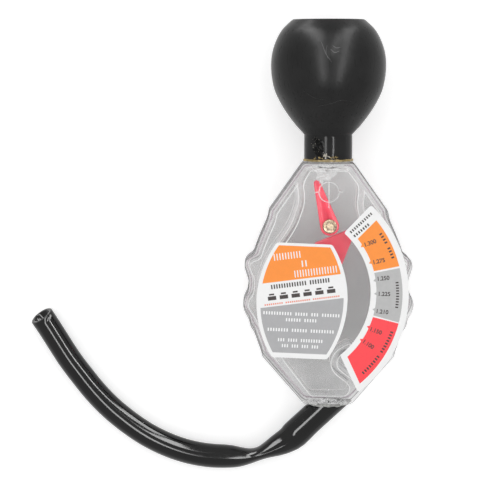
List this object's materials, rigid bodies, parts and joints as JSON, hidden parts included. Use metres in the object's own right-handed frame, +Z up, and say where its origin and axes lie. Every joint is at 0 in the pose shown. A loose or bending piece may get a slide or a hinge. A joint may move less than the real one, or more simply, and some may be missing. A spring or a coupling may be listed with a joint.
{
  "type": "battery hydrometer",
  "caption": "Dial battery hydrometer: squeeze bulb, flat clear chamber with swinging density arrow and level needle, arc scale and bent filler hose.",
  "frame": {"origin": "centre of the tester's box without the hose, on the surface that it lies on", "axes": "+Y along the body towards the bulb, +X to the right of the dial, +Z up from the surface"},
  "size_m": [0.1782, 0.2103, 0.053],
  "materials": {
    "bulb_rubber": "smooth moulded black rubber, satin",
    "hose_rubber": "glossy black extruded rubber",
    "amber_glue": "hardened yellow brown glue",
    "clear_glue": "hardened clear glue",
    "clear_plastic": "clear moulded plastic",
    "red_plastic": "moulded red plastic",
    "brass": "turned brass",
    "label_film": "printed film label"
  },
  "bodies": {
    "root": {"suction_bulb": "bulb_rubber", "neck_glue_bead": "amber_glue", "front_shell": "clear_plastic", "back_shell": "clear_plastic", "hose_glue_bead": "clear_glue", "hose": "hose_rubber", "float_pivot_pin": "brass", "needle_pivot_pin": "brass", "scale_label": "label_film", "main_label": "label_film"},
    "float": {"float_arrow": "red_plastic", "float_weight": "brass"},
    "needle": {"level_needle": "red_plastic"}
  },
  "joints": [
    {"name": "float_pivot", "type": "hinge", "parent": "root", "child": "float", "pos_m": [-0.0165, -0.02781, 0.01355], "axis": [0, -0.1, 0.995], "range_deg": [-81, 6]},
    {"name": "level_pivot", "type": "hinge", "parent": "root", "child": "needle", "pos_m": [0.00059, 0.00216, 0.02452], "axis": [0, -0.1, 0.995], "range_deg": [-50, 14]}
  ]
}
